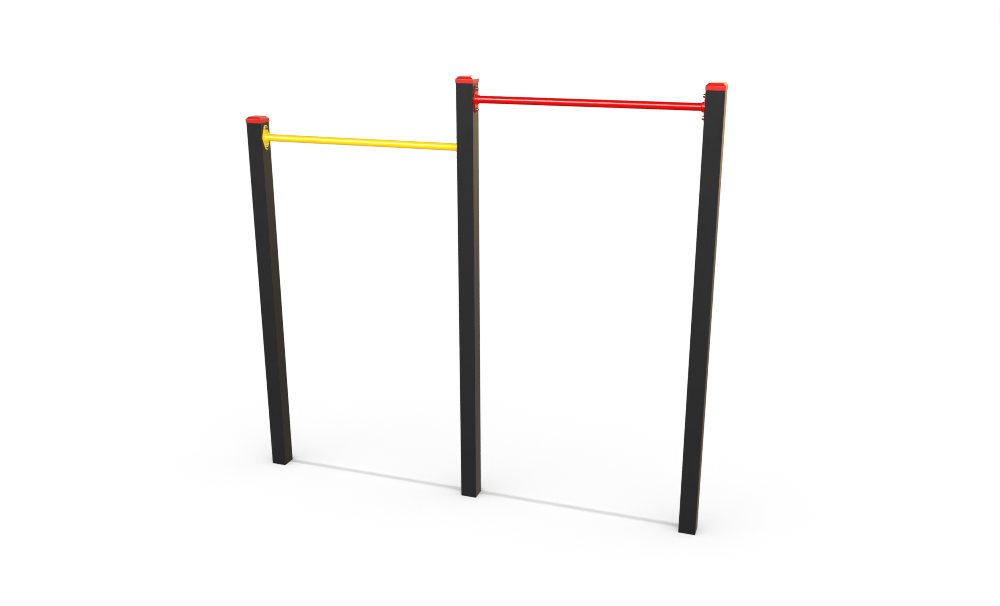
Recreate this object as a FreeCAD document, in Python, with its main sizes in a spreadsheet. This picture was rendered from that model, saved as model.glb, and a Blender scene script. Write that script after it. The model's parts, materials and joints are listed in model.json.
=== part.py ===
import FreeCAD, Part
import math
import os
import Sketcher

# Outdoor bar station: three square posts in one line carry two horizontal bars, a low one in the
# left bay and a high one in the right bay.  The frame: millimetres, +X along the bars, +Z up, the
# origin on the ground at the centre of the middle post.  Every piece is a body of its own.

DIMENSIONS = [
    # the layout
    ("post_pitch", 1400.0),  # from one post's centre to the next
    ("low_bar_height", 2240.0),  # ground to the low bar's axis
    ("high_bar_height", 2518.0),  # ground to the high bar's axis
    ("cap_above_bar", 92.0),  # from a bar's axis up to the lip of its post's cap
    # posts, square hollow section
    ("post_width", 101.6),
    ("post_wall", 3.0),
    ("post_corner", 5.0),
    # foot plates, welded inside the posts' lower ends
    ("foot_thickness", 12.0),
    ("foot_corner", 12.0),
    ("foot_hole_pitch", 56.0),
    ("foot_hole_diameter", 12.0),
    # caps
    ("cap_overhang", 2.2),  # how far the skirt stands out of the post's faces
    ("cap_corner", 3.5),
    ("cap_clearance", 0.2),
    ("cap_skirt", 22.0),  # height of the upright skirt
    ("cap_bevel", 15.0),  # the bevel rises and runs in by this much
    ("cap_top_corner", 4.0),
    ("cap_seat_depth", 20.0),  # from the lip up to the post's end
    ("cap_hollow", 72.0),
    ("cap_hollow_depth", 34.5),
    ("cap_plug_depth", 24.0),
    ("cap_plug_wall", 3.5),
    ("cap_rib", 2.5),
    ("cap_edge_round", 2.0),
    ("cap_lip_round", 0.8),
    # bars
    ("bar_diameter", 43.0),
    ("bar_wall", 3.2),
    # flange plates, one at each bar end
    ("plate_length", 153.0),
    ("plate_width", 76.0),
    ("plate_thickness", 6.0),
    ("plate_end_radius", 15.0),
    ("plate_side_radius", 27.0),
    ("plate_edge_round", 1.5),
    # collars round the bar ends
    ("collar_diameter", 57.5),
    ("collar_length", 17.0),
    ("collar_bevel_length", 9.0),
    ("collar_nose_wall", 1.0),
    ("collar_clearance", 0.05),
    # fasteners
    ("bolt_pitch", 116.0),  # between the two bolts of one plate
    ("bolt_diameter", 11.9),
    ("bolt_length", 25.0),
    ("bolt_tip_chamfer", 1.2),
    ("bolt_hole", 13.0),
    ("head_diameter", 21.0),
    ("head_height", 8.6),
    ("head_round", 5.0),
    ("socket_width", 8.0),
    ("socket_depth", 5.0),
    ("washer_diameter", 24.0),
    ("washer_thickness", 2.5),
    ("washer_round", 0.5),
    ("nut_plate_width", 50.0),
    ("nut_plate_length", 148.0),
    ("nut_plate_thickness", 8.0),
    ("nut_plate_corner", 5.0),
    ("tapped_hole", 12.0),
]

POST_HALF = "Dims.post_width / 2"
PLATE_FRONT = "(Dims.post_width / 2 + Dims.plate_thickness)"
WASHER_FRONT = "(Dims.post_width / 2 + Dims.plate_thickness + Dims.washer_thickness)"
CAP_WIDTH = "(Dims.post_width + 2 * Dims.cap_overhang)"
CAP_HEIGHT = "(Dims.cap_skirt + Dims.cap_bevel)"
POST_BORE = "(Dims.post_width - 2 * Dims.post_wall)"

LEFT_X = "-Dims.post_pitch"
MIDDLE_X = "0 * Dims.post_pitch"
RIGHT_X = "Dims.post_pitch"

doc = FreeCAD.newDocument("bar_station")
sheet = doc.addObject("Spreadsheet::Sheet", "Dims")
for row, (alias, value) in enumerate(DIMENSIONS, start=1):
    sheet.set(f"A{row}", alias)
    sheet.set(f"B{row}", str(value))
    sheet.setAlias(f"B{row}", alias)
doc.recompute()

pieces = []


# ---------------------------------------------------------------- sketch and feature helpers

def number(expression):
    """The value that an expression over the sheet's cells has now."""
    return float(sheet.evalExpression(expression.replace("Dims.", "")))


def new_body(label, base_x="0 * Dims.post_pitch", base_z="0 * Dims.post_pitch", turned=False):
    """A body that stands at (base_x, 0, base_z), turned half round about Z where it faces -X."""
    body = doc.addObject("PartDesign::Body", label)
    body.Label = label
    if turned:
        body.Placement.Rotation = FreeCAD.Rotation(FreeCAD.Vector(0, 0, 1), 180)
    body.setExpression("Placement.Base.x", base_x)
    body.setExpression("Placement.Base.z", base_z)
    pieces.append(body)
    return body


def new_sketch(body, name, role, offset=None):
    """A sketch on one of the body's own origin planes, moved along that plane's normal."""
    plane = next(item for item in body.Origin.OriginFeatures if item.Role == role)
    sketch = body.newObject("Sketcher::SketchObject", name)
    sketch.AttachmentSupport = [(plane, "")]
    sketch.MapMode = "FlatFace"
    if offset is not None:
        sketch.setExpression("AttachmentOffset.Base.z", offset)
    return sketch


def bind(sketch, name, expression, kind, *where):
    """Add a dimension to the sketch and drive it from the sheet."""
    index = sketch.addConstraint(Sketcher.Constraint(kind, *where, number(expression)))
    sketch.renameConstraint(index, name)
    sketch.setExpression("Constraints." + name, expression)


def place_point(sketch, name, geometry, point, across, up):
    """Hold a point at (across, up); a coordinate given as None lies on the axis."""
    if across is None:
        sketch.addConstraint(Sketcher.Constraint("PointOnObject", geometry, point, -2))
    else:
        bind(sketch, name + "_across", across, "DistanceX", -1, 1, geometry, point)
    if up is None:
        sketch.addConstraint(Sketcher.Constraint("PointOnObject", geometry, point, -1))
    else:
        bind(sketch, name + "_up", up, "DistanceY", -1, 1, geometry, point)


def add_circle(sketch, name, radius, across=None, up=None):
    """A circle with its centre at (across, up)."""
    centre = FreeCAD.Vector(number(across or "0"), number(up or "0"), 0)
    shape = Part.Circle(centre, FreeCAD.Vector(0, 0, 1), number(radius))
    geometry = sketch.addGeometry(shape)
    place_point(sketch, name, geometry, 3, across, up)
    bind(sketch, name + "_radius", radius, "Radius", geometry)


def add_closed_loop(sketch, points):
    """Straight edges through the points, each coordinate an expression or None for zero."""
    corners = [FreeCAD.Vector(number(x or "0"), number(y or "0"), 0) for x, y in points]
    count = len(corners)
    first = len(sketch.Geometry)
    for start in range(count):
        sketch.addGeometry(Part.LineSegment(corners[start], corners[(start + 1) % count]))
    for index, (x, y) in enumerate(points):
        following = first + (index + 1) % count
        sketch.addConstraint(Sketcher.Constraint("Coincident", first + index, 2, following, 1))
        place_point(sketch, f"corner{index}", first + index, 1, x, y)


def add_rounded_rectangle(sketch, name, width, height, corner):
    """A rectangle about the origin: four sides, each followed by the arc of its corner."""
    radius = number(corner)
    half = [number(width) / 2, number(height) / 2]
    first = len(sketch.Geometry)
    for side in range(4):
        turn = FreeCAD.Rotation(FreeCAD.Vector(0, 0, 1), 90 * side)
        along, out = half[side % 2], half[(side + 1) % 2]
        start = turn.multVec(FreeCAD.Vector(radius - along, -out, 0))
        end = turn.multVec(FreeCAD.Vector(along - radius, -out, 0))
        sketch.addGeometry(Part.LineSegment(start, end))
        centre = turn.multVec(FreeCAD.Vector(along - radius, radius - out, 0))
        circle = Part.Circle(centre, FreeCAD.Vector(0, 0, 1), radius)
        quarter = math.pi / 2
        sketch.addGeometry(Part.ArcOfCircle(circle, quarter * (side - 1), quarter * side))
    for side in range(4):
        line, arc = first + 2 * side, first + 2 * side + 1
        following = first + 2 * ((side + 1) % 4)
        sketch.addConstraint(Sketcher.Constraint("Tangent", line, 2, arc, 1))
        sketch.addConstraint(Sketcher.Constraint("Tangent", arc, 2, following, 1))
        sketch.addConstraint(Sketcher.Constraint("Vertical" if side % 2 else "Horizontal", line))
        if side:
            sketch.addConstraint(Sketcher.Constraint("Equal", first + 1, arc))
    bottom, right, top, left = (first + 2 * side for side in range(4))
    sketch.addConstraint(Sketcher.Constraint("Symmetric", bottom, 1, top, 1, -1, 1))
    bind(sketch, name + "_width", width, "DistanceX", left, 1, right, 1)
    bind(sketch, name + "_height", height, "DistanceY", bottom, 1, top, 1)
    bind(sketch, name + "_corner", corner, "Radius", first + 1)


def add_lozenge(sketch, length, width, end_radius, side_radius):
    """A tall lozenge about the origin: round sides, round ends, and tangent lines between."""
    end, side = number(end_radius), number(side_radius)
    reach, spread = number(length) / 2 - end, number(width) / 2 - side
    lean = math.atan2(spread, reach) + math.asin((side - end) / math.hypot(spread, reach))
    centres = [(spread, 0, side), (0, reach, end), (-spread, 0, side), (0, -reach, end)]
    # the directions in which the outline leaves each arc, right, top, left, bottom
    leaving = [lean, math.pi - lean, math.pi + lean, 2 * math.pi - lean]
    entering = [-lean, lean, math.pi - lean, math.pi + lean]
    first = len(sketch.Geometry)
    arcs = []
    for (x, y, radius), start, stop in zip(centres, entering, leaving):
        circle = Part.Circle(FreeCAD.Vector(x, y, 0), FreeCAD.Vector(0, 0, 1), radius)
        arcs.append(Part.ArcOfCircle(circle, start, stop))
    for index, arc in enumerate(arcs):
        sketch.addGeometry(arc)
        sketch.addGeometry(Part.LineSegment(arc.EndPoint, arcs[(index + 1) % 4].StartPoint))
    for index in range(4):
        arc, line = first + 2 * index, first + 2 * index + 1
        following = first + 2 * ((index + 1) % 4)
        sketch.addConstraint(Sketcher.Constraint("Tangent", arc, 2, line, 1))
        sketch.addConstraint(Sketcher.Constraint("Tangent", line, 2, following, 1))
    right, top, left, bottom = (first + 2 * index for index in range(4))
    sketch.addConstraint(Sketcher.Constraint("Equal", right, left))
    sketch.addConstraint(Sketcher.Constraint("Equal", top, bottom))
    sketch.addConstraint(Sketcher.Constraint("PointOnObject", right, 3, -1))
    sketch.addConstraint(Sketcher.Constraint("PointOnObject", top, 3, -2))
    sketch.addConstraint(Sketcher.Constraint("Symmetric", right, 3, left, 3, -1, 1))
    sketch.addConstraint(Sketcher.Constraint("Symmetric", top, 3, bottom, 3, -1, 1))
    bind(sketch, "side_radius", side_radius, "Radius", right)
    bind(sketch, "end_radius", end_radius, "Radius", top)
    bind(sketch, "spread", f"{width} - 2 * {side_radius}", "DistanceX", left, 3, right, 3)
    bind(sketch, "reach", f"{length} - 2 * {end_radius}", "DistanceY", bottom, 3, top, 3)


def add_hexagon(sketch, width_across_flats):
    """A hexagon about the origin, its corners on a construction circle."""
    radius = f"{width_across_flats} / (2 * cos(30))"
    size = number(width_across_flats) / 2 / math.cos(math.radians(30))
    corners = [
        FreeCAD.Vector(size * math.cos(math.radians(60 * k)), size * math.sin(math.radians(60 * k)), 0)
        for k in range(6)
    ]
    for index in range(6):
        sketch.addGeometry(Part.LineSegment(corners[index], corners[(index + 1) % 6]))
    circle = Part.Circle(FreeCAD.Vector(0, 0, 0), FreeCAD.Vector(0, 0, 1), size)
    guide = sketch.addGeometry(circle, True)
    sketch.addConstraint(Sketcher.Constraint("Coincident", guide, 3, -1, 1))
    bind(sketch, "corner_circle", radius, "Radius", guide)
    for index in range(6):
        following = (index + 1) % 6
        sketch.addConstraint(Sketcher.Constraint("Coincident", index, 2, following, 1))
        sketch.addConstraint(Sketcher.Constraint("PointOnObject", index, 1, guide))
        if index:
            sketch.addConstraint(Sketcher.Constraint("Equal", 0, index))
    sketch.addConstraint(Sketcher.Constraint("PointOnObject", 0, 1, -1))


def add_pad(body, name, sketch, length, reverse=False, both_ways=False):
    """Extrude a sketch along its normal, or against it."""
    pad = body.newObject("PartDesign::Pad", name)
    pad.Profile = sketch
    pad.setExpression("Length", length)
    pad.Reversed = reverse
    pad.Midplane = both_ways
    sketch.Visibility = False
    return pad


def add_pocket(body, name, sketch, depth, along_normal=False):
    """Cut a sketch out of the solid, and make sure that it did cut."""
    doc.recompute()
    before = body.Shape.Volume
    pocket = body.newObject("PartDesign::Pocket", name)
    pocket.Profile = sketch
    pocket.setExpression("Length", depth)
    pocket.Reversed = along_normal
    doc.recompute()
    if body.Shape.Volume >= before - 1e-3:
        raise RuntimeError(f"{body.Label}: {name} cuts nothing")
    return pocket


def add_revolution(body, name, sketch):
    """Turn a sketch a whole turn round its own horizontal axis."""
    turned = body.newObject("PartDesign::Revolution", name)
    turned.Profile = sketch
    turned.ReferenceAxis = (sketch, ["H_Axis"])
    turned.Angle = 360
    return turned


def dress_edges(body, kind, name, feature, edges, size):
    """Fillet or chamfer some edges of a feature."""
    dressing = body.newObject("PartDesign::" + kind, name)
    dressing.Base = (feature, edges)
    dressing.setExpression("Radius" if kind == "Fillet" else "Size", size)
    doc.recompute()
    return dressing


def rim_edges(feature, direction):
    """The outer edges of the flat face that lies furthest along a direction."""
    doc.recompute()
    shape = feature.Shape
    flat = [face for face in shape.Faces if face.Surface.TypeId == "Part::GeomPlane"]
    facing = [face for face in flat if face.normalAt(0, 0).dot(direction) > 0.999]
    outermost = max(facing, key=lambda face: face.CenterOfMass.dot(direction))
    rim = outermost.OuterWire.Edges
    return [
        f"Edge{index}"
        for index, edge in enumerate(shape.Edges, start=1)
        if any(edge.isSame(other) for other in rim)
    ]


def level_edges(feature, height):
    """The edges that lie at one height."""
    doc.recompute()
    return [
        f"Edge{index}"
        for index, edge in enumerate(feature.Shape.Edges, start=1)
        if all(abs(corner.Z - height) < 1e-6 for corner in edge.Vertexes)
    ]


# ---------------------------------------------------------------- the pieces

OUTWARD = FreeCAD.Vector(1, 0, 0)
UPWARD = FreeCAD.Vector(0, 0, 1)


def make_post(label, base_x, height, bars):
    """A square tube; bars lists the axis height and the side (+1 or -1) of each bar it holds."""
    body = new_body(label, base_x)
    section = new_sketch(body, "section", "XY_Plane")
    add_rounded_rectangle(section, "outside", "Dims.post_width", "Dims.post_width", "Dims.post_corner")
    bore_corner = "Dims.post_corner - Dims.post_wall"
    add_rounded_rectangle(section, "bore", POST_BORE, POST_BORE, bore_corner)
    add_pad(body, "tube", section, height)
    for axis_height, side in bars:
        where = "right" if side > 0 else "left"
        holes = new_sketch(body, f"bolt_holes_{where}", "YZ_Plane")
        for name, sign in (("upper", "+"), ("lower", "-")):
            level = f"{axis_height} {sign} Dims.bolt_pitch / 2"
            add_circle(holes, name, "Dims.bolt_hole / 2", up=level)
        add_pocket(body, f"drilling_{where}", holes, "Dims.post_width", along_normal=side > 0)


def make_foot_plate(label, base_x):
    """The plate inside a post's foot; its rounded corners leave the bore's corners open to drain."""
    body = new_body(label, base_x)
    outline = new_sketch(body, "outline", "XY_Plane")
    add_rounded_rectangle(outline, "plate", POST_BORE, POST_BORE, "Dims.foot_corner")
    add_pad(body, "plate", outline, "Dims.foot_thickness")
    holes = new_sketch(body, "anchor_hole", "XY_Plane")
    reach = "Dims.foot_hole_pitch / 2"
    add_circle(holes, "hole", "Dims.foot_hole_diameter / 2", across=reach, up=reach)
    hole = add_pocket(body, "anchor_hole_cut", holes, "Dims.foot_thickness", along_normal=True)
    pattern = body.newObject("PartDesign::PolarPattern", "anchor_holes")
    pattern.Originals = [hole]
    pattern.Axis = (holes, ["N_Axis"])
    pattern.Angle = 360
    pattern.Occurrences = 4
    body.Tip = pattern


def make_cap(label, base_x, lip_height):
    """A bevelled cap over the post's end: skirt, seat, hollow crown with ribs, and a push-in plug."""
    body = new_body(label, base_x, lip_height)
    skirt = new_sketch(body, "skirt_outline", "XY_Plane")
    add_rounded_rectangle(skirt, "skirt", CAP_WIDTH, CAP_WIDTH, "Dims.cap_corner")
    add_pad(body, "skirt", skirt, "Dims.cap_skirt")
    bevel_foot = new_sketch(body, "bevel_foot", "XY_Plane", "Dims.cap_skirt")
    add_rounded_rectangle(bevel_foot, "foot", CAP_WIDTH, CAP_WIDTH, "Dims.cap_corner")
    crown = new_sketch(body, "crown_outline", "XY_Plane", CAP_HEIGHT)
    crown_width = f"{CAP_WIDTH} - 2 * Dims.cap_bevel"
    add_rounded_rectangle(crown, "crown", crown_width, crown_width, "Dims.cap_top_corner")
    bevel = body.newObject("PartDesign::AdditiveLoft", "bevel")
    bevel.Profile = bevel_foot
    bevel.Sections = [crown]
    bevel.Ruled = True
    edges = level_edges(bevel, number("Dims.cap_skirt")) + rim_edges(bevel, UPWARD)
    rounded = dress_edges(body, "Fillet", "crown_round", bevel, edges, "Dims.cap_edge_round")
    edges = rim_edges(rounded, -UPWARD)
    dress_edges(body, "Fillet", "lip_round", rounded, edges, "Dims.cap_lip_round")

    seat = new_sketch(body, "seat_outline", "XY_Plane")
    seat_width = "Dims.post_width + 2 * Dims.cap_clearance"
    seat_corner = "Dims.post_corner + Dims.cap_clearance"
    add_rounded_rectangle(seat, "seat", seat_width, seat_width, seat_corner)
    add_pocket(body, "seat", seat, "Dims.cap_seat_depth", along_normal=True)
    hollow = new_sketch(body, "hollow_outline", "XY_Plane")
    add_rounded_rectangle(hollow, "hollow", "Dims.cap_hollow", "Dims.cap_hollow", "Dims.cap_top_corner")
    add_pocket(body, "hollow", hollow, "Dims.cap_hollow_depth", along_normal=True)

    plug = new_sketch(body, "plug_outline", "XY_Plane", "Dims.cap_seat_depth")
    plug_corner = "(Dims.post_corner - Dims.post_wall + 1)"
    plug_bore = f"{POST_BORE} - 2 * Dims.cap_plug_wall"
    add_rounded_rectangle(plug, "outside", POST_BORE, POST_BORE, plug_corner)
    add_rounded_rectangle(plug, "inside", plug_bore, plug_bore, "Dims.cap_top_corner")
    add_pad(body, "plug", plug, "Dims.cap_plug_depth", reverse=True)
    for name, width, height in (
        ("rib_across", "Dims.cap_hollow", "Dims.cap_rib"),
        ("rib_along", "Dims.cap_rib", "Dims.cap_hollow"),
    ):
        rib = new_sketch(body, name + "_outline", "XY_Plane", "Dims.cap_seat_depth")
        add_rounded_rectangle(rib, name, width, height, "Dims.cap_rib / 4")
        add_pad(body, name, rib, "Dims.cap_hollow_depth - Dims.cap_seat_depth")


def make_bar(label, base_x, axis_height):
    """A round tube that reaches from one flange plate to the other."""
    body = new_body(label, base_x, axis_height)
    section = new_sketch(body, "section", "YZ_Plane")
    add_circle(section, "outside", "Dims.bar_diameter / 2")
    add_circle(section, "inside", "Dims.bar_diameter / 2 - Dims.bar_wall")
    length = "Dims.post_pitch - Dims.post_width - 2 * Dims.plate_thickness"
    add_pad(body, "tube", section, length, both_ways=True)


def make_flange_plate(label, base_x, axis_height, turned):
    """The lozenge plate that closes the bar's end and bolts to the post's face."""
    body = new_body(label, base_x, axis_height, turned)
    outline = new_sketch(body, "outline", "YZ_Plane", POST_HALF)
    add_lozenge(
        outline, "Dims.plate_length", "Dims.plate_width", "Dims.plate_end_radius", "Dims.plate_side_radius"
    )
    plate = add_pad(body, "plate", outline, "Dims.plate_thickness")
    edges = rim_edges(plate, OUTWARD)
    dress_edges(body, "Fillet", "front_round", plate, edges, "Dims.plate_edge_round")
    hole_sketch = new_sketch(body, "bolt_hole", "YZ_Plane", POST_HALF)
    add_circle(hole_sketch, "hole", "Dims.bolt_hole / 2", up="Dims.bolt_pitch / 2")
    hole = add_pocket(body, "upper_hole", hole_sketch, "Dims.plate_thickness", along_normal=True)
    mirror = body.newObject("PartDesign::Mirrored", "lower_hole")
    mirror.Originals = [hole]
    mirror.MirrorPlane = (hole_sketch, ["H_Axis"])
    body.Tip = mirror


def make_collar(label, base_x, axis_height, turned):
    """The bevelled ring welded round the bar, hard against the flange plate."""
    body = new_body(label, base_x, axis_height, turned)
    profile = new_sketch(body, "profile", "XZ_Plane")
    bore = "(Dims.bar_diameter / 2 + Dims.collar_clearance)"
    nose = f"{PLATE_FRONT} + Dims.collar_length"
    shoulder = f"{nose} - Dims.collar_bevel_length"
    add_closed_loop(profile, [
        (PLATE_FRONT, bore),
        (nose, bore),
        (nose, f"{bore} + Dims.collar_nose_wall"),
        (shoulder, "Dims.collar_diameter / 2"),
        (PLATE_FRONT, "Dims.collar_diameter / 2"),
    ])
    add_revolution(body, "ring", profile)


def make_washer(label, base_x, level, turned):
    """A plain washer on the flange plate."""
    body = new_body(label, base_x, level, turned)
    outline = new_sketch(body, "outline", "YZ_Plane", PLATE_FRONT)
    add_circle(outline, "outside", "Dims.washer_diameter / 2")
    add_circle(outline, "inside", "Dims.bolt_hole / 2")
    washer = add_pad(body, "washer", outline, "Dims.washer_thickness")
    edges = rim_edges(washer, OUTWARD)
    dress_edges(body, "Fillet", "face_round", washer, edges, "Dims.washer_round")


def make_bolt(label, base_x, level, turned):
    """A button-head screw with a hexagon socket; its thread is left plain."""
    body = new_body(label, base_x, level, turned)
    profile = new_sketch(body, "profile", "XZ_Plane")
    tip = f"{WASHER_FRONT} - Dims.bolt_length"
    top = f"{WASHER_FRONT} + Dims.head_height"
    shank, head = "Dims.bolt_diameter / 2", "Dims.head_diameter / 2"
    add_closed_loop(profile, [
        (tip, None),
        (top, None),
        (top, head),
        (WASHER_FRONT, head),
        (WASHER_FRONT, shank),
        (tip, shank),
    ])
    blank = add_revolution(body, "blank", profile)
    edges = rim_edges(blank, OUTWARD)
    button = dress_edges(body, "Fillet", "button", blank, edges, "Dims.head_round")
    edges = rim_edges(button, -OUTWARD)
    dress_edges(body, "Chamfer", "tip", button, edges, "Dims.bolt_tip_chamfer")
    socket = new_sketch(body, "socket_outline", "YZ_Plane", top)
    add_hexagon(socket, "Dims.socket_width")
    add_pocket(body, "socket", socket, "Dims.socket_depth")


def make_nut_plate(label, base_x, axis_height, turned):
    """The tapped plate welded inside the post's wall, behind the flange plate."""
    body = new_body(label, base_x, axis_height, turned)
    back = f"{POST_HALF} - Dims.post_wall - Dims.nut_plate_thickness"
    outline = new_sketch(body, "outline", "YZ_Plane", back)
    add_rounded_rectangle(
        outline, "plate", "Dims.nut_plate_width", "Dims.nut_plate_length", "Dims.nut_plate_corner"
    )
    add_pad(body, "plate", outline, "Dims.nut_plate_thickness")
    hole_sketch = new_sketch(body, "tapped_hole", "YZ_Plane", back)
    add_circle(hole_sketch, "hole", "Dims.tapped_hole / 2", up="Dims.bolt_pitch / 2")
    hole = add_pocket(body, "upper_hole", hole_sketch, "Dims.nut_plate_thickness", along_normal=True)
    mirror = body.newObject("PartDesign::Mirrored", "lower_hole")
    mirror.Originals = [hole]
    mirror.MirrorPlane = (hole_sketch, ["H_Axis"])
    body.Tip = mirror


def make_bar_end(name, base_x, axis_height, turned):
    """All that joins one end of a bar to its post."""
    make_flange_plate(f"flange_plate_{name}", base_x, axis_height, turned)
    make_collar(f"collar_{name}", base_x, axis_height, turned)
    make_nut_plate(f"nut_plate_{name}", base_x, axis_height, turned)
    for place, sign in (("upper", "+"), ("lower", "-")):
        level = f"{axis_height} {sign} Dims.bolt_pitch / 2"
        make_washer(f"washer_{name}_{place}", base_x, level, turned)
        make_bolt(f"bolt_{name}_{place}", base_x, level, turned)


# ---------------------------------------------------------------- the station

LOW_BAR, HIGH_BAR = "Dims.low_bar_height", "Dims.high_bar_height"
LOW_LIP = f"{LOW_BAR} + Dims.cap_above_bar"
HIGH_LIP = f"{HIGH_BAR} + Dims.cap_above_bar"

POSTS = [
    ("left", LEFT_X, LOW_LIP, [(LOW_BAR, +1)]),
    ("middle", MIDDLE_X, HIGH_LIP, [(LOW_BAR, -1), (HIGH_BAR, +1)]),
    ("right", RIGHT_X, HIGH_LIP, [(HIGH_BAR, -1)]),
]
BARS = [
    ("low", LOW_BAR, LEFT_X, MIDDLE_X),
    ("high", HIGH_BAR, MIDDLE_X, RIGHT_X),
]

for place, post_x, lip, bars in POSTS:
    make_post(f"post_{place}", post_x, f"{lip} + Dims.cap_seat_depth", bars)
    make_foot_plate(f"foot_plate_{place}", post_x)
    make_cap(f"cap_{place}", post_x, lip)

for bar_name, height, left_x, right_x in BARS:
    make_bar(f"{bar_name}_bar", f"({left_x} + {right_x}) / 2", height)
    make_bar_end(f"{bar_name}_left", left_x, height, turned=False)
    make_bar_end(f"{bar_name}_right", right_x, height, turned=True)

# ---------------------------------------------------------------- checks and export

doc.recompute()
for item in doc.Objects:
    if "Invalid" in item.State or "Error" in item.State:
        raise RuntimeError(f"{item.Label} is {item.State}")
for piece in pieces:
    if piece.Shape.isNull() or not piece.Shape.isValid() or len(piece.Shape.Solids) != 1:
        raise RuntimeError(f"{piece.Label} is not one valid solid")

os.makedirs("parts", exist_ok=True)
for piece in pieces:
    piece.Shape.exportStep(f"parts/{piece.Label}.step")
    print(f"{piece.Label}: {piece.Shape.Volume / 1000:.1f} cm3")
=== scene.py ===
import json
import math

import bmesh
import bpy
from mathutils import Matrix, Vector

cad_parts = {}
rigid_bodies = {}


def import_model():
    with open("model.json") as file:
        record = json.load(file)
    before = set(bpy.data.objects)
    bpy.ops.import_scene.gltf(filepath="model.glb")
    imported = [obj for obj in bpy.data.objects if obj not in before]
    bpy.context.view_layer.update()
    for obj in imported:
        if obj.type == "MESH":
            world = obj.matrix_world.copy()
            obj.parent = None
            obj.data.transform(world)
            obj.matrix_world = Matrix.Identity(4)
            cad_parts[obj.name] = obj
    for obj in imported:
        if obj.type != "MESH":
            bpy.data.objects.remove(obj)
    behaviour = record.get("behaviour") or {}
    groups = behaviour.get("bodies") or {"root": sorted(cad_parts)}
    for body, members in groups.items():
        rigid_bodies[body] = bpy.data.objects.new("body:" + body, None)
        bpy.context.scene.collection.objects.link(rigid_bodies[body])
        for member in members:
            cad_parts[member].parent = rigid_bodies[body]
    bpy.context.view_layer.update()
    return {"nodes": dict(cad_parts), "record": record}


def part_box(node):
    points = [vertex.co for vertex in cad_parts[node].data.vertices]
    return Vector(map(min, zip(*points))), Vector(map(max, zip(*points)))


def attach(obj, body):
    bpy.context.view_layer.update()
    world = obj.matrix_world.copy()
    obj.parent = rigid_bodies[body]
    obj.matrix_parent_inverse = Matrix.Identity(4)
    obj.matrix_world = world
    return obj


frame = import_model()
nodes = frame["nodes"]

# Metres and degrees throughout.  +X runs along the bars, +Y across them, +Z up; azimuth 0 is +Y and
# grows towards +X.


# ---------------------------------------------------------------- node-tree helpers

class Graph:
    """A shader tree with a short way to add a node and wire its inputs."""

    def __init__(self, tree):
        self.tree = tree
        tree.nodes.clear()

    def add(self, kind, inputs=(), output=0, **settings):
        """Add a node, set its properties, wire or set its inputs, and return one of its outputs."""
        node = self.tree.nodes.new("ShaderNode" + kind)
        for name, value in settings.items():
            setattr(node, name, value)
        for name, value in dict(inputs).items():
            socket = node.inputs[name]
            if isinstance(value, bpy.types.NodeSocket):
                self.tree.links.new(value, socket)
            else:
                socket.default_value = value
        return node.outputs[output] if len(node.outputs) else None

    def math(self, operation, first, second=0.0):
        return self.add("Math", {0: first, 1: second}, operation=operation)

    def dot(self, first, second):
        return self.add("VectorMath", {0: first, 1: second}, "Value", operation="DOT_PRODUCT")

    def noise(self, where, scale, detail=2.0, roughness=0.5):
        """A noise value about 0.5; scale is in cells per metre."""
        inputs = {"Vector": where, "Scale": scale, "Detail": detail, "Roughness": roughness}
        return self.add("TexNoise", inputs)

    def remap(self, value, low, high, from_low=0.25, from_high=0.75):
        """Carry a value from one range to another."""
        inputs = {"Value": value, 1: from_low, 2: from_high, 3: low, 4: high}
        return self.add("MapRange", inputs)

    def mix(self, share, first, second):
        """A colour between two colours."""
        inputs = {"Factor": share, 6: first, 7: second}
        return self.add("Mix", inputs, 2, data_type="RGBA")

    def bump(self, height, depth, strength=1.0, normal=None):
        """A bump whose height of 0 to 1 stands for a depth in metres."""
        inputs = {"Height": height, "Distance": depth, "Strength": strength}
        if normal is not None:
            inputs["Normal"] = normal
        return self.add("Bump", inputs)


def shade(colour, factor):
    """The colour made lighter or darker, with full alpha."""
    return (*[channel * factor for channel in colour[:3]], 1.0)


def new_material(name):
    """A material with an empty tree, and the position in the row frame as its coordinates."""
    material = bpy.data.materials.new(name)
    material.use_nodes = True
    graph = Graph(material.node_tree)
    position = graph.add("TexCoord", output="Object")
    return material, graph, position


def finish_material(graph, inputs):
    """End a tree in one Principled shader."""
    surface = graph.add("BsdfPrincipled", inputs)
    graph.add("OutputMaterial", {"Surface": surface})


# ---------------------------------------------------------------- materials

def powder_coat(name, colour, roughness, peel_depth, drift, specular=0.5):
    """Baked powder coat: orange peel, pin-prick grain, and a slow drift of shade and gloss."""
    material, graph, position = new_material(name)
    cloud = graph.noise(position, 5.0, 3.0)
    grain = graph.noise(position, 1400.0, 1.0)
    tint = graph.mix(graph.remap(cloud, 0.0, 1.0), shade(colour, 1 - drift), shade(colour, 1 + drift))
    flecked = graph.mix(graph.remap(grain, 0.0, 0.12), tint, shade(colour, 0.7))
    gloss = graph.remap(graph.noise(position, 45.0, 3.0), roughness * 0.88, roughness * 1.12)
    peel = graph.bump(graph.noise(position, 320.0, 2.0, 0.45), peel_depth)
    pitted = graph.bump(grain, peel_depth * 0.25, normal=peel)
    finish_material(graph, {
        "Base Color": flecked,
        "Roughness": gloss,
        "Normal": pitted,
        "Specular IOR Level": specular,
    })
    return material


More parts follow.
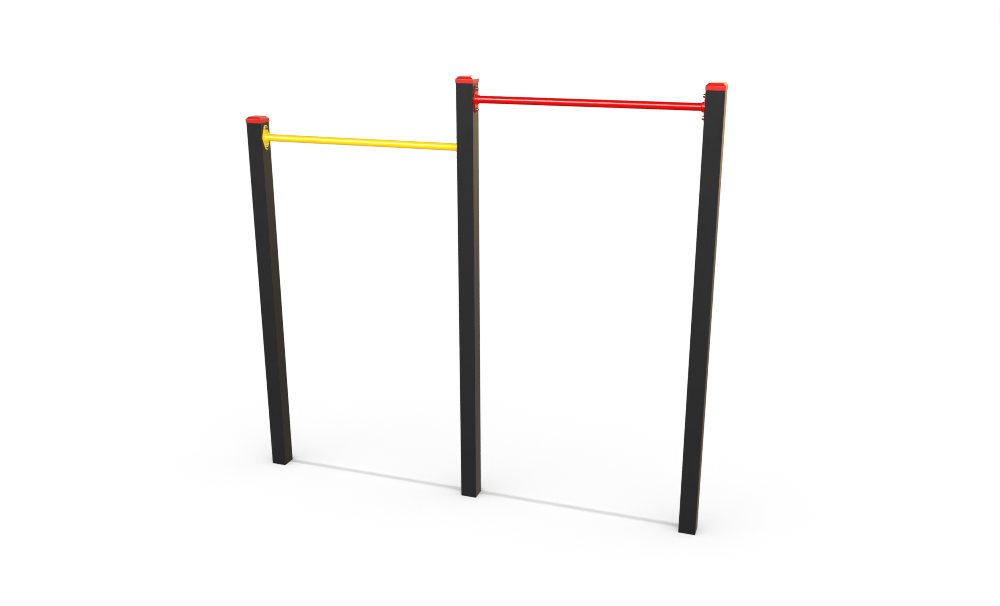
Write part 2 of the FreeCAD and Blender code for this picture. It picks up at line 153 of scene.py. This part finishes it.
def cap_plastic():
    """Moulded polyamide: fine spark-eroded grain, faint flow marks, a little light inside."""
    material, graph, position = new_material("moulded_red_plastic")
    colour = (0.62, 0.015, 0.0085)
    flow = graph.noise(position, 38.0, 4.0, 0.6)
    grain = graph.noise(position, 2200.0, 2.0)
    tint = graph.mix(graph.remap(flow, 0.0, 1.0), shade(colour, 0.93), shade(colour, 1.06))
    gloss = graph.remap(grain, 0.18, 0.26)
    waves = graph.bump(flow, 0.00004)
    texture = graph.bump(grain, 0.00002, normal=waves)
    finish_material(graph, {
        "Base Color": tint,
        "Roughness": gloss,
        "Normal": texture,
        "Specular IOR Level": 0.5,
        "Subsurface Weight": 0.05,
        "Subsurface Radius": (0.004, 0.001, 0.0005),
    })
    return material


def turned_steel():
    """Stainless fasteners: fine lathe rings round each one's own axis, with small stains."""
    material, graph, position = new_material("turned_stainless")
    local = graph.add("TexCoord", output="Generated")
    centred = graph.add("VectorMath", {0: local, 1: (0.5, 0.5, 0.5)}, operation="SUBTRACT")
    flat = graph.add("VectorMath", {0: centred, 1: (0.0, 1.0, 1.0)}, operation="MULTIPLY")
    radius = graph.add("VectorMath", {0: flat}, "Value", operation="LENGTH")
    rings = graph.math("SINE", graph.math("MULTIPLY", radius, 260.0))
    stain = graph.noise(position, 160.0, 4.0, 0.6)
    colour = graph.mix(graph.remap(stain, 0.0, 1.0), (0.30, 0.32, 0.30, 1), (0.41, 0.43, 0.40, 1))
    gloss = graph.remap(graph.noise(position, 900.0, 2.0), 0.20, 0.30)
    grooves = graph.bump(rings, 0.000004)
    finish_material(graph, {
        "Base Color": colour,
        "Metallic": 0.92,
        "Roughness": gloss,
        "Normal": grooves,
    })
    return material


def zinc_steel():
    """Hot-dip zinc: a spangle of dull crystals with a slightly uneven skin."""
    material, graph, position = new_material("galvanised_steel")
    spangle = graph.add("TexVoronoi", {"Vector": position, "Scale": 90.0}, "Color")
    crystal = graph.add("SeparateColor", {"Color": spangle})
    skin = graph.noise(position, 60.0, 4.0, 0.6)
    colour = graph.mix(crystal, (0.36, 0.37, 0.38, 1), (0.52, 0.53, 0.54, 1))
    gloss = graph.remap(skin, 0.42, 0.62)
    finish_material(graph, {
        "Base Color": colour,
        "Metallic": 0.85,
        "Roughness": gloss,
        "Normal": graph.bump(skin, 0.0001),
    })
    return material


# ---------------------------------------------------------------- added pieces

def weld_bead(name, centre, outward, ring_radius, size, ripples, material):
    """A rippled fillet weld round the bar's axis, in the corner where a ring meets a flat face."""
    around, across = ripples * 6, 10
    mesh = bpy.data.meshes.new(name)
    shape = bmesh.new()
    rings = []
    for step in range(around):
        turn = 2 * math.pi * step / around
        # each ripple of the bead is a low crescent, with a little waver from one to the next
        phase = (step / 6) % 1.0
        waver = 0.05 * math.sin(3 * turn) + 0.04 * math.sin(7 * turn + 1.0)
        reach = size * (1.0 + waver - 0.10 * (1 - math.sin(math.pi * phase)))
        ring = []
        for index in range(across):
            angle = math.pi * 1.5 * index / (across - 1) - math.pi * 0.25
            radius = ring_radius + reach * math.sin(angle) * 0.9
            along = outward * reach * math.cos(angle) * 0.9
            offset = Vector((along, radius * math.cos(turn), radius * math.sin(turn)))
            ring.append(shape.verts.new(centre + offset))
        rings.append(ring)
    for step in range(around):
        here, following = rings[step], rings[(step + 1) % around]
        for index in range(across):
            after = (index + 1) % across
            shape.faces.new((here[index], here[after], following[after], following[index]))
    bmesh.ops.recalc_face_normals(shape, faces=shape.faces)
    for face in shape.faces:
        face.smooth = True
    shape.to_mesh(mesh)
    shape.free()
    bead = bpy.data.objects.new(name, mesh)
    bpy.context.scene.collection.objects.link(bead)
    mesh.materials.append(material)
    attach(bead, "root")
    return bead


# ---------------------------------------------------------------- the studio

def make_floor():
    """A plain pale floor, far wider than the view."""
    reach = 150.0
    mesh = bpy.data.meshes.new("floor")
    corners = [(-reach, -reach, 0), (reach, -reach, 0), (reach, reach, 0), (-reach, reach, 0)]
    mesh.from_pydata(corners, [], [(0, 1, 2, 3)])
    floor = bpy.data.objects.new("floor", mesh)
    bpy.context.scene.collection.objects.link(floor)
    material, graph, _ = new_material("floor")
    finish_material(graph, {
        "Base Color": (0.9, 0.9, 0.9, 1),
        "Roughness": 1.0,
        "Specular IOR Level": 0.0,
    })
    mesh.materials.append(material)
    floor.visible_glossy = False
    floor.visible_diffuse = False
    return floor


# What the gloss reflects: azimuth, elevation, half-width, half-height, colour, strength.  These are
# stand-ins for unknown surroundings; neither the camera nor the diffuse light sees them.
GLOWS = [
    ("front softbox", -151.0, 22.0, 22.0, 6.5, (0.95, 0.98, 1.00), 26.0),
    ("side softbox", 138.0, 18.0, 12.0, 6.5, (0.95, 0.98, 1.00), 13.0),
    ("front wall", -160.0, -14.0, 20.0, 12.0, (1.00, 1.00, 1.00), 0.12),
    ("right wall", 110.0, 5.0, 25.0, 20.0, (0.60, 0.78, 1.00), 0.10),
    ("warm back wall", 23.0, -1.0, 10.0, 7.5, (1.00, 0.74, 0.38), 1.22),
    ("orange lamp", 7.0, -4.0, 4.0, 5.0, (1.00, 0.62, 0.22), 0.86),
    ("amber lamp", 5.0, 7.0, 5.0, 4.0, (1.00, 0.58, 0.16), 1.3),
    ("warm back floor", 20.0, -30.0, 13.0, 22.0, (1.00, 0.82, 0.62), 0.38),
    ("back horizon", -20.0, 4.5, 8.0, 3.6, (1.00, 0.88, 0.70), 2.2),
    ("coral horizon", -35.0, 6.0, 5.0, 4.0, (1.00, 0.30, 0.16), 1.1),
    ("golden horizon", -6.0, 4.5, 6.0, 4.0, (1.00, 0.64, 0.16), 1.2),
    ("back window", 4.0, 21.0, 8.0, 4.2, (1.00, 0.95, 0.86), 14.0),
]
# The even light from above in those reflections: strength and colour.
CEILING = (0.03, (0.96, 0.98, 1.00))


def make_world():
    """Soft lights on dark walls for the gloss to reflect, and plain white behind the object."""
    world = bpy.data.worlds.new("studio")
    bpy.context.scene.world = world
    world.cycles_visibility.diffuse = False
    world.use_nodes = True
    graph = Graph(world.node_tree)
    direction = graph.add("TexCoord", output="Generated")
    level = graph.add("VectorMath", {0: direction, 1: (1.0, 1.0, 0.0)}, operation="MULTIPLY")
    heading = graph.add("VectorMath", {0: level}, operation="NORMALIZE")
    rise = graph.math("ARCSINE", graph.dot(direction, (0.0, 0.0, 1.0)))
    strength, tint = CEILING
    ceiling = graph.remap(rise, 0.0, strength, from_low=-0.05, from_high=0.5)
    total = graph.add("VectorMath", {0: tint, "Scale": ceiling}, operation="SCALE")
    for _, azimuth, elevation, half_width, half_height, colour, strength in GLOWS:
        turn = math.radians(azimuth)
        facing = graph.dot(heading, (math.sin(turn), math.cos(turn), 0.0))
        aside = graph.math("SUBTRACT", facing, 1.0)
        sideways = graph.math("DIVIDE", aside, math.radians(half_width) ** 2)
        above = graph.math("SUBTRACT", rise, math.radians(elevation))
        squared = graph.math("MULTIPLY", above, above)
        upright = graph.math("DIVIDE", squared, -2 * math.radians(half_height) ** 2)
        falloff = graph.math("EXPONENT", graph.math("ADD", sideways, upright))
        amount = graph.math("MULTIPLY", falloff, strength)
        glow = graph.add("VectorMath", {0: colour, "Scale": amount}, operation="SCALE")
        total = graph.add("VectorMath", {0: total, 1: glow}, operation="ADD")
    seen = graph.add("LightPath", output="Is Camera Ray")
    background = graph.mix(seen, total, (1.0, 1.0, 1.0, 1.0))
    surface = graph.add("Background", {"Color": background, "Strength": 1.0})
    graph.add("OutputWorld", {"Surface": surface})


# A tent of large panels for the diffuse light: centre, width, height, colour, brightness.
PANELS = [
    ("ceiling", (0.0, 0.0, 7.0), 14.0, 14.0, (1.0, 1.0, 1.0), 0.42),
    ("front", (0.5, -7.0, 4.0), 8.0, 4.0, (1.0, 1.0, 1.0), 7.2),
    ("right", (7.0, -1.0, 2.5), 6.0, 4.0, (1.0, 1.0, 1.0), 4.8),
    ("left", (-7.0, 0.0, 2.5), 6.0, 4.0, (1.0, 1.0, 1.0), 1.2),
    ("back", (0.0, 7.0, 3.0), 8.0, 4.0, (1.0, 1.0, 1.0), 2.4),
    ("bounce", (0.0, 0.0, 0.02), 12.0, 12.0, (1.0, 0.70, 0.50), 0.55),
]


def make_panels(object_only):
    """Large soft panels round the object, each turned towards its middle; they leave the gloss alone."""
    middle = Vector((0.0, 0.0, 1.3))
    for name, centre, width, height, colour, brightness in PANELS:
        lamp = bpy.data.lights.new("panel_" + name, "AREA")
        lamp.shape = "RECTANGLE"
        lamp.size = width
        lamp.size_y = height
        lamp.color = colour
        lamp.energy = brightness * math.pi * width * height
        panel = bpy.data.objects.new("panel_" + name, lamp)
        panel.location = centre
        towards = middle - Vector(centre)
        if name in ("ceiling", "bounce"):
            towards = Vector((0.0, 0.0, towards.z))
        panel.rotation_euler = towards.to_track_quat("-Z", "Y").to_euler()
        panel.visible_camera = False
        panel.visible_glossy = False
        panel.light_linking.receiver_collection = object_only
        bpy.context.scene.collection.objects.link(panel)


# Suns that light the floor alone: name, energy, angular width, tilt, turn.
FLOOR_LAMPS = [
    ("overhead", 0.76, 0.14, 0.775, 0.0),
    ("sky", 3.24, 136.0, 30.0, 20.0),
]


def make_floor_lamps(floor_only):
    """A small far lamp overhead draws each bar as a thin line; a wide one softens the feet's shade."""
    for name, energy, width, tilt, turn in FLOOR_LAMPS:
        lamp = bpy.data.lights.new("floor_" + name, "SUN")
        lamp.energy = energy
        lamp.angle = math.radians(width)
        holder = bpy.data.objects.new("floor_" + name, lamp)
        holder.location = (0.0, 0.0, 6.0)
        holder.rotation_euler = (math.radians(tilt), 0.0, math.radians(turn))
        holder.light_linking.receiver_collection = floor_only
        bpy.context.scene.collection.objects.link(holder)


def make_camera():
    """A camera above head height to the right, turned towards the middle post."""
    camera = bpy.data.cameras.new("camera")
    camera.sensor_width = 36.0
    camera.lens = 34.78
    camera.clip_end = 500.0
    holder = bpy.data.objects.new("camera", camera)
    holder.location = (2.0137, -5.2565, 3.0558)
    holder.rotation_euler = (math.radians(90 - 17.385), 0.0, math.radians(19.055))
    bpy.context.scene.collection.objects.link(holder)
    bpy.context.scene.camera = holder


# ---------------------------------------------------------------- the object

coats = {
    "post_coat": powder_coat("anthracite_powder_coat", (0.0172, 0.0176, 0.0185), 0.20, 0.00002, 0.08),
    "yellow_coat": powder_coat("yellow_powder_coat", (0.98, 0.65, 0.001), 0.15, 0.000006, 0.02),
    "red_coat": powder_coat("red_powder_coat", (0.62, 0.002, 0.001), 0.15, 0.000006, 0.03),
    "cap_plastic": cap_plastic(),
    "fastener_steel": turned_steel(),
    "zinc_steel": zinc_steel(),
}
for part in frame["record"]["subparts"]:
    nodes[part["node"]].material_slots[0].material = coats[part["material_slot"]]

for bar, slot in (("low", "yellow_coat"), ("high", "red_coat")):
    bar_low, bar_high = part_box(f"{bar}_bar")
    bar_radius = (bar_high.z - bar_low.z) / 2
    axis_height = (bar_high.z + bar_low.z) / 2
    for side, outward in (("left", 1), ("right", -1)):
        low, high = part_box(f"collar_{bar}_{side}")
        foot_x, nose_x = (low.x, high.x) if outward > 0 else (high.x, low.x)
        collar_radius = (high.z - low.z) / 2
        foot = Vector((foot_x, 0.0, axis_height))
        nose = Vector((nose_x, 0.0, axis_height))
        place, coat = f"{bar}_{side}", coats[slot]
        weld_bead(f"collar_weld_{place}", foot, outward, collar_radius, 0.0024, 42, coat)
        weld_bead(f"bar_weld_{place}", nose, outward, bar_radius + 0.0005, 0.0014, 40, coat)

floor = make_floor()
object_only = bpy.data.collections.new("object_only")
floor_only = bpy.data.collections.new("floor_only")
for thing in bpy.context.scene.objects:
    if thing.type == "MESH":
        (floor_only if thing == floor else object_only).objects.link(thing)
make_world()
make_panels(object_only)
make_floor_lamps(floor_only)
make_camera()
bpy.context.scene.view_settings.view_transform = "Standard"
bpy.context.scene.cycles.filter_width = 1.0
bpy.context.scene.cycles.sample_clamp_direct = 12.0
bpy.context.scene.cycles.sample_clamp_indirect = 1.0
